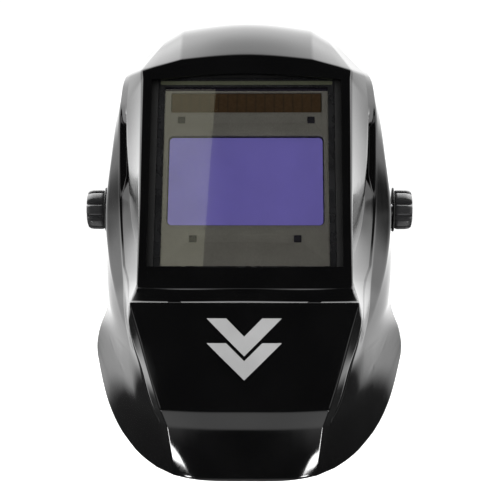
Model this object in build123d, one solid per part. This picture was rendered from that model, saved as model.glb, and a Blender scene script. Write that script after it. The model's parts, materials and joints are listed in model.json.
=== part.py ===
from build123d import *
import math
import os

# Welding helmet. Millimetres, Z up. The front of the helmet faces -Y and X runs left to right.
# The origin is the middle of the tilt axis, where the shell pivots on the headgear.

# ---------------------------------------------------------------- driving dimensions
WALL = 2.6                 # shell wall
WINDOW_CENTRE = (0, -141, 29)
WINDOW_RISE = (0, 64, 148)  # direction up the window face
LENS_W = 114.0             # outer cover lens and filter cartridge
LENS_H = 133.0
LENS_DROP = -1.8           # cartridge centre, measured up the window face
VIEW_W = 100.0             # clear view through the filter
VIEW_H = 62.0
VIEW_DROP = -4.4
SOLAR_W = 98.0
SOLAR_H = 14.0
SOLAR_RISE = 50.4
SENSOR = 4.8
SENSOR_SPOTS = ((42.0, 38.0), (-42.0, 38.0), (33.0, -44.4), (-33.0, -44.4))

HOLDER_W = 122.0           # the frame behind the window that holds lens and cartridge
HOLDER_LOW = -74.0
HOLDER_HIGH = 71.0
HOLDER_FRONT = -4.3        # depths are measured inwards from the window face, so they are negative
HOLDER_BACK = -24.8
HOLDER_BEVEL = 4.0
LIP = 1.2
LENS_FRONT = -5.7
LENS_THICK = 1.2
CASE_FRONT = -7.1
CASE_SPLIT = -11.1
CASE_BACK = -19.1
SLIP = 0.3                 # room between pieces that move past each other
PIN_R = 2.0
AXLE_R = 1.5               # the retainer's hinge pins and the stop lever's pin
RUNNING = 0.05             # radial clearance of a pin in its bore
RETAINER_DEPTH = CASE_BACK - SLIP - PIN_R
RETAINER_TOP = LENS_DROP + LENS_H / 2 - PIN_R

# Places on the cartridge are (x, distance up the window face). A dial has its x and its radius.
DIAL_SPOTS = {"shade_dial": (0.0, 9.0), "sensitivity_dial": (-34.0, 7.0), "delay_dial": (34.0, 7.0)}
DIAL_UP = 45.0
DIAL_NOTCHES = 18
LOW_POCKET_UP = -52.0
BUTTON_SPOT = (30.0, LOW_POCKET_UP)
BUTTON_R = 3.0
SWITCH_SPOT = (0.0, LOW_POCKET_UP)
SWITCH_TRAVEL = 6.0
CELL_SPOT = (-30.0, LOW_POCKET_UP)
CELL_R = 10.0

BOSS_R = 19.0              # round seat on the shell wall at each pivot
BOSS_IN = 98.6
BOSS_OUT = 104.2
BOLT_R = 4.0
WASHER_R = 16.0
WASHER_THICK = 0.8
KNOB_R = 14.4
KNOB_THICK = 13.0
KNOB_LOBES = 8
KNOB_FACE = 105.3          # inner face of the tension knob
INSERT_R = 6.0             # threaded insert in the knob
BOLT_HEAD_R = 7.0

BAND_LONG = 96.0           # headband ellipse, half length and half width
BAND_WIDE = 77.0
BAND_MID = 10.0            # y of the middle of the head
BAND_THICK = 2.2
BAND_HEIGHT = 24.0
BAND_Z = 20.0
BROW_TILT = 10.0           # the brow band rises towards the front
NAPE_TILT = -33.0          # the rear band falls towards the back
PAD_THICK = 6.0
STRAP_THICK = 1.6
STRAP_WIDE = 20.0
CROWN_Z = 102.0            # inside of the crown straps
RAIL_X = 84.0              # inner face of the slotted side rails
RAIL_THICK = 3.0
STRAP_X = BAND_WIDE + BAND_THICK + STRAP_THICK + 0.9
RIVET_R = 1.6
RIVET_HEAD_X = STRAP_X + STRAP_THICK + 0.2
# Each crown strap: its name, its lean in degrees, the y of its foot and its rivet's (y, z).
STRAPS = (("front", -14.0, -8.0, (-9.0, 27.0)), ("rear", 24.0, 14.0, (17.0, 26.0)))
RIVET_SPOTS = tuple(spot for _, _, _, spot in STRAPS)
BLOCK_IN = RAIL_X + RAIL_THICK + SLIP
BLOCK_OUT = BOSS_IN - 0.6  # outer face of the pivot block
RAIL_LONG = 58.0
RAIL_TALL = 34.0
RAIL_SLOT_Y = 20.0
LEVER_Y = 12.0             # axis of the tilt stop lever
LEVER_Z = -26.0
LEVER_THICK = 3.0
RATCHET_R = 17.0
RATCHET_LOBES = 12
PINION_R = 5.0

# ---------------------------------------------------------------- shell outline
# Each row crosses the shell from its middle line to its edge. The places in a row are: middle, opening
# side, front corner, foot of the window box, outer edge of the side channel, crest of the side body,
# middle of the side, edge.
SHELL_ROWS = {
    "chin edge": ((0, -158, -167.5), (30, -154, -167.5), (46, -142, -167), (58, -127, -165),
                  (68, -111, -162), (80, -90, -155), (97, -55, -136), (109, -24, -104)),
    "band foot": ((0, -170, -132), (28, -168.5, -132), (49, -162, -132), (53.5, -152, -132.5),
                  (67, -126, -131), (79, -100, -128), (95, -62, -117), (109.8, -20, -96)),
    "band top": ((0, -178, -120.5), (28, -176, -120.4), (52.5, -170, -120.2), (59, -153, -119.5),
                 (70.5, -128, -117), (80, -103, -113), (95, -62, -104), (109.2, -18, -90)),
    "mid chin": ((0, -182.5, -97), (30, -180, -97), (59.5, -171.5, -97), (66, -152, -95),
                 (73, -131, -93), (80, -110, -92), (93, -66, -88), (107.5, -18, -83)),
    "high chin": ((0, -183.5, -75), (33, -181.5, -75), (65, -173.5, -75), (70.7, -154, -80),
                  (75, -130, -84), (78, -121, -82), (92, -72, -78), (104.5, -16, -75)),
    "nose": ((0, -179, -53.4), (45, -178.6, -53.4), (70.5, -177, -53.4), (72.5, -165, -60),
             (80, -115, -66), (84.5, -102, -65), (97.6, -50, -63), (102.8, 5, -58)),
    "window foot": ((0, -173.2, -45.3), (45, -173, -45.3), (66.8, -172, -45), (67.5, -155, -40),
                    (83, -95, -45), (90.4, -80, -52), (101, -33, -45), (103.6, 26, -35)),
    "opening foot": ((0, -167, -31.8), (53.1, -166.7, -31.2), (66.8, -166.3, -31), (69, -139, -28),
                     (84.6, -88, -34), (95.6, -63, -36), (102.2, -27, -28), (104, 34, -16)),
    "low window": ((0, -151.5, 4), (53.3, -151.4, 4), (67, -151, 4), (76.6, -99, -4),
                   (87.6, -75.5, -2), (99.7, -52, -4), (102.3, -14, 0), (104, 38, 5)),
    "high window": ((0, -131, 52), (53.8, -130.9, 52), (67.6, -130.4, 52), (80.8, -87.5, 40),
                    (88.4, -71.5, 41), (94.8, -58, 38), (99.8, -14, 34), (102, 40, 33)),
    "opening top": ((0, -116, 87), (54, -117, 84), (67.8, -116.4, 84), (81, -84, 74),
                    (86.8, -69.5, 74), (89.6, -58, 70), (95, -10, 63), (98.4, 41, 54)),
    "window top": ((0, -110, 103.4), (43, -110, 100.7), (68.6, -112, 93.6), (79, -84, 92.5),
                   (82.6, -72, 92.5), (86, -58, 87), (91, -8, 75), (96, 41, 63)),
    "crown front": ((0, -85, 126), (43, -84, 122), (52.5, -82, 118), (62, -80, 111),
                    (72, -77, 100), (79, -58, 97), (87, -10, 88), (93, 41, 72)),
    "crown": ((0, -45, 131.2), (43, -44, 127.6), (54, -42, 123.2), (63.5, -40, 116.5),
              (72, -38, 109.2), (79.5, -25, 102.5), (85, 8, 93), (90, 41, 79)),
    "crown rear": ((0, 0, 128.5), (40, 1, 125), (52, 3, 121), (62, 5, 115),
                   (71, 8, 107.5), (76.5, 17, 101.5), (81, 28, 94.5), (86, 41, 86)),
    "rear edge": ((0, 40, 119.5), (30, 40, 118), (43, 40, 116), (54, 40, 112.5),
                  (62, 40, 107), (69, 40, 103), (76, 40, 97), (82, 41, 91)),
}
OPENING_ROWS = (7, 10)     # the window opening lies between these rows
OPENING_PLACES = 1         # and inside this place of each row

# ---------------------------------------------------------------- helpers
rise = Vector(*WINDOW_RISE).normalized()
outward = Vector(1, 0, 0).cross(rise)
WINDOW = Plane(origin=WINDOW_CENTRE, x_dir=(1, 0, 0), z_dir=outward)


def save(shape, node):
    """Write one sub-part to its own file."""
    export_step(shape, f"parts/{node}.step")


def slab(width, height, x, up, front, back):
    """A plate parallel to the window face, between two depths behind it."""
    return WINDOW.location * Pos(x, up, (front + back) / 2) * Box(width, height, front - back)


def peg(radius, x, up, front, back):
    """A round peg square to the window face."""
    return WINDOW.location * Pos(x, up, (front + back) / 2) * Cylinder(radius, front - back)


def rod_x(radius, start, end, y=0.0, z=0.0):
    """A cylinder along X."""
    return Pos((start + end) / 2, y, z) * Rot(0, 90, 0) * Cylinder(radius, abs(end - start))


def ellipse_line(half_x, half_y, start, end, count=13):
    """Points on an ellipse; angles run from +X towards +Y, in degrees."""
    steps = [math.radians(start + (end - start) * i / (count - 1)) for i in range(count)]
    return [(half_x * math.cos(a), half_y * math.sin(a)) for a in steps]


def shifted(points, distance):
    """The line moved sideways, to its right, by a distance."""
    moved = []
    for i, (x, y) in enumerate(points):
        before = points[max(i - 1, 0)]
        after = points[min(i + 1, len(points) - 1)]
        dx, dy = after[0] - before[0], after[1] - before[1]
        length = math.hypot(dx, dy)
        moved.append((x + dy / length * distance, y - dx / length * distance))
    return moved


def ribbon(plane, points, inner, outer, height):
    """A bent strip: the band between two offsets of a line, spread evenly about its plane."""
    near, far = shifted(points, inner), shifted(points, outer)
    edges = Spline(*near) + Line(near[-1], far[-1]) + Spline(*far[::-1]) + Line(far[0], near[0])
    return plane.location * extrude(make_face(edges), amount=height / 2, both=True)


def sides(shape, node):
    """A left and a mirrored right piece, in two files."""
    save(shape, f"{node}_right")
    save(mirror(shape, about=Plane.YZ), f"{node}_left")


# ---------------------------------------------------------------- shell
def shell_skin():
    """Rows of points over the whole shell, from its left edge to its right edge."""
    rows = []
    for half in SHELL_ROWS.values():
        left = [Vector(-x, y, z) for x, y, z in half[:0:-1]]
        rows.append(left + [Vector(*p) for p in half])
    return rows


def skin_normals(rows):
    """The outward direction at each point of the skin."""
    last_row, last = len(rows) - 1, len(rows[0]) - 1
    normals = []
    for r, row in enumerate(rows):
        line = []
        for c in range(last + 1):
            up = rows[min(r + 1, last_row)][c] - rows[max(r - 1, 0)][c]
            across = row[min(c + 1, last)] - row[max(c - 1, 0)]
            line.append(across.cross(up).normalized())
        normals.append(line)
    return normals


def make_shell():
    """The moulded shell: outer skin, inner skin and the edges that join them."""
    outer = shell_skin()
    normals = skin_normals(outer)
    inner = [[p - n * WALL for p, n in zip(row, line)] for row, line in zip(outer, normals)]
    middle = len(outer[0]) // 2
    faces = []

    def quad(a, b, c, d):
        faces.append(Face(Wire.make_polygon([a, b, c])))
        faces.append(Face(Wire.make_polygon([a, c, d])))

    def is_open(r, c):
        low, high = OPENING_ROWS
        return low <= r < high and middle - OPENING_PLACES <= c < middle + OPENING_PLACES

    row_count, place_count = len(outer) - 1, len(outer[0]) - 1
    for r in range(row_count):
        for c in range(place_count):
            if is_open(r, c):
                continue
            for skin in (outer, inner):
                quad(skin[r][c], skin[r][c + 1], skin[r + 1][c + 1], skin[r + 1][c])
            borders = (((r - 1, c), (r, c), (r, c + 1)), ((r + 1, c), (r + 1, c), (r + 1, c + 1)),
                       ((r, c - 1), (r, c), (r + 1, c)), ((r, c + 1), (r, c + 1), (r + 1, c + 1)))
            for (nr, nc), (r1, c1), (r2, c2) in borders:
                outside = not (0 <= nr < row_count and 0 <= nc < place_count)
                if outside or is_open(nr, nc):
                    quad(outer[r1][c1], outer[r2][c2], inner[r2][c2], inner[r1][c1])
    shell = Solid(Shell(faces))
    for side in (1, -1):
        shell += rod_x(BOSS_R, side * BOSS_IN, side * BOSS_OUT)
        shell -= rod_x(BOLT_R + RUNNING, side * (BOSS_IN - 9), side * (BOSS_OUT + 9))
    return shell


# ---------------------------------------------------------------- window, lens and cartridge
def make_holder():
    """The frame screwed behind the window, open to the rear, with bores for the retainer's pins."""
    mid = (HOLDER_LOW + HOLDER_HIGH) / 2
    block = Box(HOLDER_W, HOLDER_HIGH - HOLDER_LOW, HOLDER_FRONT - HOLDER_BACK)
    block = chamfer(block.edges().group_by(Axis.Z)[-1], HOLDER_BEVEL)
    body = WINDOW.location * Pos(0, mid, (HOLDER_FRONT + HOLDER_BACK) / 2) * block
    body -= slab(LENS_W - 8, LENS_H - 9, 0, LENS_DROP, HOLDER_FRONT + 1, HOLDER_BACK - 1)
    body -= slab(LENS_W + 2 * SLIP, LENS_H + 2 * SLIP, 0, LENS_DROP, HOLDER_FRONT - LIP, HOLDER_BACK - 1)
    axle = WINDOW.location * Pos(0, RETAINER_TOP, RETAINER_DEPTH) * Rot(0, 90, 0)
    body -= axle * Cylinder(AXLE_R + RUNNING, HOLDER_W - 3)
    return body


def make_case_front():
    """Front half of the cartridge, with the view, the solar strip and the sensor holes open."""
    body = slab(LENS_W, LENS_H, 0, LENS_DROP, CASE_FRONT, CASE_SPLIT)
    body -= slab(VIEW_W, VIEW_H, 0, VIEW_DROP, CASE_FRONT + 1, CASE_SPLIT - 1)
    body -= slab(VIEW_W + 6, VIEW_H + 5, 0, VIEW_DROP, CASE_FRONT - 1.6, CASE_SPLIT - 1)
    body -= slab(SOLAR_W, SOLAR_H, 0, SOLAR_RISE, CASE_FRONT + 1, CASE_SPLIT - 1)
    for x, up in SENSOR_SPOTS:
        body -= slab(SENSOR + 0.2, SENSOR + 0.2, x, up, CASE_FRONT + 1, CASE_SPLIT - 1)
    return body


def make_case_rear():
    """Rear half of the cartridge, with pockets for the panel, the board and the cell."""
    body = slab(LENS_W, LENS_H, 0, LENS_DROP, CASE_SPLIT, CASE_BACK)
    body -= slab(VIEW_W - 4, VIEW_H - 4, 0, VIEW_DROP, CASE_SPLIT + 1, CASE_BACK - 1)
    body -= slab(VIEW_W + 8, VIEW_H + 6, 0, VIEW_DROP, CASE_SPLIT + 1, CASE_SPLIT - 5.2)
    body -= slab(VIEW_W + 2, VIEW_H + 2, 0, VIEW_DROP, CASE_BACK + 1.2, CASE_BACK - 1)
    body -= slab(104, 28, 0, DIAL_UP, CASE_SPLIT + 1, CASE_BACK + 2)
    body -= slab(104, 14, 0, LOW_POCKET_UP, CASE_SPLIT + 1, CASE_BACK + 2)
    for x, _ in DIAL_SPOTS.values():
        body -= peg(PIN_R + RUNNING, x, DIAL_UP, CASE_SPLIT, CASE_BACK - 1)
    body -= peg(BUTTON_R + RUNNING, *BUTTON_SPOT, CASE_SPLIT, CASE_BACK - 1)
    body -= slab(SWITCH_TRAVEL + 3.4, 3.4, *SWITCH_SPOT, CASE_SPLIT, CASE_BACK - 1)
    body -= peg(CELL_R + 1.0, *CELL_SPOT, CASE_SPLIT, CASE_BACK - 1)
    return body


def make_dial(x, radius):
    """A grooved dial on its stem, on the wearer's side of the cartridge."""
    dial = peg(radius, x, DIAL_UP, CASE_BACK - SLIP, CASE_BACK - 4.6)
    for i in range(DIAL_NOTCHES):
        turn = math.radians(360 / DIAL_NOTCHES * i)
        notch = peg(0.6, x + radius * math.cos(turn), DIAL_UP + radius * math.sin(turn),
                    CASE_BACK, CASE_BACK - 5)
        dial -= notch
    dial -= slab(1.2, radius, x, DIAL_UP + radius / 2, CASE_BACK - 3.8, CASE_BACK - 5)
    return dial + peg(PIN_R, x, DIAL_UP, CASE_BACK + 5, CASE_BACK - SLIP)


def make_retainer():
    """The hinged frame that presses the cartridge against its seat."""
    front, back = RETAINER_DEPTH + PIN_R, RETAINER_DEPTH - PIN_R
    low = LENS_DROP - LENS_H / 2 + 1.0
    height = RETAINER_TOP - low
    width = LENS_W - 2.0
    body = slab(width, height, 0, low + height / 2, front, back)
    body -= slab(width - 10, height - 9, 0, low + height / 2 - 0.5, front + 1, back - 1)
    axle = WINDOW.location * Pos(0, RETAINER_TOP, RETAINER_DEPTH) * Rot(0, 90, 0)
    body += axle * Cylinder(PIN_R, width)
    body += axle * Cylinder(AXLE_R, HOLDER_W - 6)
    return body + slab(18, 6, 0, low + 3, back, back - 4)


def make_cartridge():
    """Everything that darkens, senses or lights inside the cartridge."""
    save(make_case_front(), "filter_case_front")
    save(make_case_rear(), "filter_case_rear")
    save(slab(VIEW_W + 5.4, VIEW_H + 4.4, 0, VIEW_DROP, CASE_FRONT - 1.8, CASE_SPLIT), "uv_ir_filter")
    save(slab(VIEW_W + 7, VIEW_H + 5, 0, VIEW_DROP, CASE_SPLIT, CASE_SPLIT - 5), "lcd_panel")
    save(slab(SOLAR_W - 0.4, SOLAR_H - 0.4, 0, SOLAR_RISE, CASE_FRONT - 1, CASE_FRONT - 2.2), "solar_cell")
    sensors = [slab(SENSOR, SENSOR, x, up, CASE_FRONT - 0.6, CASE_FRONT - 2.8) for x, up in SENSOR_SPOTS]
    save(Compound(children=sensors), "arc_sensors")
    board = slab(100, 24, 0, DIAL_UP, CASE_SPLIT - 0.4, CASE_SPLIT - 1.8)
    save(board, "circuit_board")
    save(slab(VIEW_W + 1.4, VIEW_H + 1.4, 0, VIEW_DROP, CASE_BACK + 1.1, CASE_BACK + 0.1), "inner_cover_lens")
    save(peg(CELL_R, *CELL_SPOT, CASE_SPLIT - 0.6, CASE_SPLIT - 3.8), "coin_cell")
    cap = peg(CELL_R + 0.9, *CELL_SPOT, CASE_SPLIT - 4.6, CASE_BACK - 0.6)
    cap -= slab(14, 2, *CELL_SPOT, CASE_BACK + 0.8, CASE_BACK - 2)
    save(cap, "battery_cap")
    for node, (x, radius) in DIAL_SPOTS.items():
        save(make_dial(x, radius), node)
    save(peg(BUTTON_R, *BUTTON_SPOT, CASE_BACK + 3, CASE_BACK - 1.6), "test_button")
    x, up = SWITCH_SPOT
    start = x - SWITCH_TRAVEL / 2
    slider = slab(3.0, 3.0, start, up, CASE_BACK + 2, CASE_BACK - 0.2)
    slider += slab(7.0, 5.4, start, up, CASE_BACK - 0.2, CASE_BACK - 2.2)
    save(slider, "mode_switch")


# ---------------------------------------------------------------- pivots
def make_knob():
    """Tension knob: a lobed grip round a thin flange, with a bore for its threaded insert."""
    out = KNOB_FACE + KNOB_THICK
    knob = rod_x(KNOB_R, KNOB_FACE, out)
    for i in range(KNOB_LOBES):
        turn = math.radians(360 / KNOB_LOBES * (i + 0.5))
        reach = KNOB_R + 3.4
        knob -= rod_x(5.6, KNOB_FACE + 2.5, out + 1, reach * math.cos(turn), reach * math.sin(turn))
    knob = chamfer(knob.edges().group_by(Axis.X)[-1], 1.6)
    return knob - rod_x(INSERT_R, KNOB_FACE - 1, out - 3)


def make_pivots():
    """The pieces of each pivot, from the knob in to the sliding block."""
    end = KNOB_FACE + KNOB_THICK - 5
    sides(make_knob(), "tension_knob")
    insert = rod_x(INSERT_R, KNOB_FACE, KNOB_FACE + KNOB_THICK - 3)
    insert -= rod_x(BOLT_R + RUNNING, KNOB_FACE - 1, end + 1)
    sides(insert, "knob_insert")
    bolt = rod_x(BOLT_R, BLOCK_OUT - 5, end)
    bolt += rod_x(BOLT_HEAD_R, BLOCK_OUT - 5, BLOCK_OUT - 3)
    sides(bolt, "pivot_bolt")
    washer = rod_x(WASHER_R, BOSS_OUT + 0.15, BOSS_OUT + 0.15 + WASHER_THICK) - rod_x(BOLT_R, 90, 120)
    sides(washer, "friction_washer")
    block = Pos((BLOCK_IN + BLOCK_OUT) / 2, 0, 0) * Box(BLOCK_OUT - BLOCK_IN, 30, 26)
    block = fillet(block.edges().filter_by(Axis.X), 5)
    block -= rod_x(BOLT_R, BLOCK_IN - 1, BLOCK_OUT + 1)
    block -= rod_x(BOLT_HEAD_R, BLOCK_OUT - 5, BLOCK_OUT - 3)
    block -= rod_x(BOLT_HEAD_R + 0.2, BLOCK_IN - 1, BLOCK_OUT - 3)
    sides(block, "pivot_block")


def make_rails():
    """Side rails on the headband, along which the pivot blocks are set nearer or further."""
    rail = Pos(RAIL_X + RAIL_THICK / 2, 0, 0) * Box(RAIL_THICK, RAIL_LONG, RAIL_TALL)
    rail = fillet(rail.edges().filter_by(Axis.X), 8)
    for y in (-RAIL_SLOT_Y, RAIL_SLOT_Y):
        rail -= Pos(RAIL_X + RAIL_THICK / 2, y, 0) * Box(RAIL_THICK + 2, 8, 14)
    post = Pos((BAND_WIDE + BAND_THICK + RAIL_X) / 2, 0, 9) * Box(RAIL_X - BAND_WIDE - BAND_THICK, 26, 12)
    sides(rail + post, "side_rail")


def make_stop_lever():
    """Lever on the right rail that sets how far down the shell comes."""
    x_in, x_out = BLOCK_IN, BLOCK_IN + LEVER_THICK
    lever = rod_x(5.0, x_in, x_out, LEVER_Y, LEVER_Z)
    lever += Pos((x_in + x_out) / 2, LEVER_Y, LEVER_Z - 9) * Box(x_out - x_in, 6, 18)
    lever -= rod_x(AXLE_R + RUNNING, x_in - 1, x_out + 1, LEVER_Y, LEVER_Z)
    save(lever, "tilt_stop_lever")
    bracket = Pos(RAIL_X + RAIL_THICK / 2, LEVER_Y, LEVER_Z + 2) * Box(RAIL_THICK, 12, 14)
    bracket -= Pos(RAIL_X + RAIL_THICK / 2, 0, 0) * Box(RAIL_THICK + 1, RAIL_LONG, RAIL_TALL + 0.4)
    pin = rod_x(AXLE_R, RAIL_X + RAIL_THICK, x_out + 1.2, LEVER_Y, LEVER_Z)
    save(bracket + pin, "stop_bracket")


# ---------------------------------------------------------------- headgear
BROW = Plane(origin=(0, BAND_MID, BAND_Z), x_dir=(1, 0, 0), z_dir=Vector(0, 0, 1).rotate(Axis.X, -BROW_TILT))
NAPE = Plane(origin=(0, BAND_MID, BAND_Z), x_dir=(1, 0, 0), z_dir=Vector(0, 0, 1).rotate(Axis.X, NAPE_TILT))
REAR = NAPE.location * Pos(0, BAND_LONG, 0)


def make_headband():
    """Brow band with its two arms, sweatband and rear band with ratchet."""
    brow = ellipse_line(BAND_WIDE, BAND_LONG, 162, 378, 23)
    band = ribbon(BROW, brow, 0, BAND_THICK, BAND_HEIGHT)
    for side in (1, -1):
        for y, z in RIVET_SPOTS:
            band -= rod_x(RIVET_R, side * (BAND_WIDE - 12), side * (BAND_WIDE + 12), y, z)
    save(band, "headband")
    pad = ellipse_line(BAND_WIDE, BAND_LONG, 205, 335, 17)
    save(ribbon(BROW, pad, -SLIP - PAD_THICK, -SLIP, BAND_HEIGHT + 6), "sweatband")


def make_rear():
    """The rear band, the ratchet that draws it in and the nape pad."""
    back = ellipse_line(BAND_WIDE - 1.2, BAND_LONG, 4, 176, 21)
    save(ribbon(NAPE, back, -BAND_THICK, 0, BAND_HEIGHT - 8), "rear_band")
    block = Box(62, 10, 36)
    housing = REAR * Pos(0, 5.2, 0) * fillet(block.edges().filter_by(Axis.Y), 7)
    housing -= REAR * Pos(0, 5.7, 0) * Box(54, 5, 17)
    housing -= REAR * Pos(0, 9, 0) * Rot(90, 0, 0) * Cylinder(PINION_R + RUNNING, 8)
    save(housing, "ratchet_housing")
    pinion = REAR * Pos(0, 8.2, 0) * Rot(90, 0, 0) * Cylinder(PINION_R, 4.6)
    save(pinion, "ratchet_pinion")
    knob = REAR * Pos(0, 17.6, 0) * Rot(90, 0, 0) * Cylinder(RATCHET_R, 14)
    reach = RATCHET_R + 1.6
    for i in range(RATCHET_LOBES):
        turn = math.radians(360 / RATCHET_LOBES * i)
        spot = Pos(reach * math.cos(turn), 17.6, reach * math.sin(turn))
        knob -= REAR * spot * Rot(90, 0, 0) * Cylinder(3.4, 16)
    save(knob, "ratchet_knob")
    inside = ellipse_line(BAND_WIDE - 1.2, BAND_LONG, 66, 114, 9)
    save(ribbon(NAPE, inside, -BAND_THICK - SLIP - PAD_THICK, -BAND_THICK - SLIP, BAND_HEIGHT + 4), "nape_pad")


def make_straps():
    """Two crown straps, each of two halves that overlap at the top and are pinned together."""
    pins = []
    for name, lean, foot_y, spot in STRAPS:
        plane = Plane(origin=(0, foot_y, BAND_Z), x_dir=(1, 0, 0),
                      z_dir=Vector(0, -1, 0).rotate(Axis.X, -lean))
        tall = CROWN_Z - BAND_Z
        upper_half = ellipse_line(STRAP_X, tall, -1.5, 102, 15)
        lower_half = ellipse_line(STRAP_X, tall, 78, 181.5, 15)
        upper = ribbon(plane, upper_half, 0.1, STRAP_THICK + 0.1, STRAP_WIDE)
        lower = ribbon(plane, lower_half, -STRAP_THICK, 0, STRAP_WIDE)
        over = plane.location * Pos(0, tall, 0) * Rot(90, 0, 0)
        pin = over * Cylinder(2.0, 2 * STRAP_THICK + 0.3)
        upper -= over * Cylinder(2.0, 12)
        lower -= over * Cylinder(2.0, 12)
        head = over * Pos(0, 0, -STRAP_THICK - 1.1) * Cylinder(4.5, 1.9)
        pins.append(pin + head)
        y, z = spot
        for side in (1, -1):
            hole = rod_x(RIVET_R, side * (BAND_WIDE - 12), side * (BAND_WIDE + 12), y, z)
            upper -= hole
            lower -= hole
        save(upper, f"crown_strap_{name}_right")
        save(lower, f"crown_strap_{name}_left")
    save(Compound(children=pins), "strap_pins")
    rivets = []
    for side in (1, -1):
        for y, z in RIVET_SPOTS:
            rivet = rod_x(RIVET_R, side * (BAND_WIDE - 0.2), side * RIVET_HEAD_X, y, z)
            rivets.append(rivet + rod_x(4.0, side * RIVET_HEAD_X, side * (RIVET_HEAD_X + 1), y, z))
    save(Compound(children=rivets), "strap_rivets")


os.makedirs("parts", exist_ok=True)
save(make_shell(), "helmet_shell")
save(make_holder(), "filter_holder")
save(slab(LENS_W, LENS_H, 0, LENS_DROP, LENS_FRONT, LENS_FRONT - LENS_THICK), "outer_cover_lens")
make_cartridge()
save(make_retainer(), "filter_retainer")
make_pivots()
make_rails()
make_stop_lever()
make_headband()
make_rear()
make_straps()
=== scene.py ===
import json
import math
from contextlib import contextmanager

import bmesh
import bpy
import numpy as np
from mathutils import Matrix, Vector


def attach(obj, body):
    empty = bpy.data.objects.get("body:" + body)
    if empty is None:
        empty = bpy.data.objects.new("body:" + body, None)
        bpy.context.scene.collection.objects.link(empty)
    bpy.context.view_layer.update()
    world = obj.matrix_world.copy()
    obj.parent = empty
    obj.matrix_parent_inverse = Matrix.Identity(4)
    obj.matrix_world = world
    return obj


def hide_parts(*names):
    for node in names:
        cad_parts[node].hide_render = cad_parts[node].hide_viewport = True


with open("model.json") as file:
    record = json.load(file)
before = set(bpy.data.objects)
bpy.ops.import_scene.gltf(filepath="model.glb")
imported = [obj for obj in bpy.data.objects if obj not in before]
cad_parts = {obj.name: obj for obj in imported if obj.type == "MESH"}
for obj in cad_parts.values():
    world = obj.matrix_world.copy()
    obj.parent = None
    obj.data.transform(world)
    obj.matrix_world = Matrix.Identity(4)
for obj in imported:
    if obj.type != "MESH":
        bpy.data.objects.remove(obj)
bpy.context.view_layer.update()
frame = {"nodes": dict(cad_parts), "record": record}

MM = 0.001
nodes = frame["nodes"]


def new_object(name, data):
    """An object of its own in the scene."""
    made = bpy.data.objects.new(name, data)
    bpy.context.scene.collection.objects.link(made)
    return made


def set_all(thing, **settings):
    for key, value in settings.items():
        setattr(thing, key, value)
    return thing


def modify(piece, kind, **settings):
    """Adds a modifier; angle is where a bevel starts, in degrees."""
    if "angle" in settings:
        settings.update(limit_method="ANGLE", angle_limit=math.radians(settings.pop("angle")))
    return set_all(piece.modifiers.new(kind.lower(), kind), **settings)


@contextmanager
def edited(mesh):
    """A mesh opened for editing and written back."""
    work = bmesh.new()
    work.from_mesh(mesh)
    yield work
    work.to_mesh(mesh)
    work.free()


def all_smooth(mesh):
    mesh.polygons.foreach_set("use_smooth", [True] * len(mesh.polygons))


# ---------- camera
# It looks at a point just below the tilt axis, from a metre in front and slightly above.
CAM_YAW = math.radians(1.0)
CAM_RISE = math.radians(3.0)
CAM_DISTANCE = 1.065
CAM_LENS = 104.66  # focal length and sensor width in millimetres
CAM_SENSOR = 36.0
CAM_DROP = 0.02967  # how far below and beside the tilt axis it looks
CAM_ASIDE = 0.00037


def make_camera():
    toward = Vector((math.sin(CAM_YAW) * math.cos(CAM_RISE),
                     -math.cos(CAM_YAW) * math.cos(CAM_RISE), math.sin(CAM_RISE)))
    right = Vector((math.cos(CAM_YAW), math.sin(CAM_YAW), 0))
    up = toward.cross(right)
    target = right * CAM_ASIDE - up * CAM_DROP
    data = set_all(bpy.data.cameras.new("camera"), lens=CAM_LENS, sensor_width=CAM_SENSOR)
    camera = new_object("camera", data)
    turn = Matrix((right, up, toward)).transposed().to_4x4()
    camera.matrix_world = Matrix.Translation(target + toward * CAM_DISTANCE) @ turn
    bpy.context.scene.camera = camera


# ---------- materials
def node_tree(name):
    """A new material, its node tree and its Principled shader."""
    material = bpy.data.materials.new(name)
    material.use_nodes = True
    tree = material.node_tree
    return material, tree, tree.nodes["Principled BSDF"]


def feed(node, inputs):
    """Gives each socket of a node a value, or links the output that feeds it."""
    for socket, value in inputs.items():
        if isinstance(value, bpy.types.NodeSocket):
            node.id_data.links.new(value, node.inputs[socket])
        else:
            node.inputs[socket].default_value = value


def add_node(tree, kind, inputs, **settings):
    node = set_all(tree.nodes.new("ShaderNode" + kind), **settings)
    feed(node, inputs)
    return node


def place_in(tree, kind="Object"):
    """Coordinates of the shaded point."""
    return tree.nodes.new("ShaderNodeTexCoord").outputs[kind]


def noise(tree, scale, detail=3.0, rough=0.5):
    """Noise in object coordinates; scale is in waves per metre."""
    return add_node(tree, "TexNoise", {"Scale": scale, "Detail": detail, "Roughness": rough,
                                       "Vector": place_in(tree)}).outputs["Fac"]


def stretched(tree, scale, size, detail=2.0):
    """Noise stretched by a different factor along each axis."""
    mapping = add_node(tree, "Mapping", {"Vector": place_in(tree), "Scale": size})
    return add_node(tree, "TexNoise", {"Scale": scale, "Detail": detail,
                                       "Vector": mapping.outputs["Vector"]}).outputs["Fac"]


def waves(tree, bands, axis, distortion=0.0):
    """Straight bands across one axis, so many per metre; the texture turns 20 radians per unit."""
    return add_node(tree, "TexWave", {"Scale": bands / 20 * 2 * math.pi, "Distortion": distortion,
                                      "Vector": place_in(tree)}, bands_direction=axis).outputs["Fac"]


def spread(tree, fac, low, high, start=0.3, end=0.7):
    """A value remapped from start..end to low..high."""
    return add_node(tree, "MapRange", {"Value": fac, "From Min": start, "From Max": end, "To Min": low,
                                       "To Max": high}).outputs["Result"]


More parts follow.
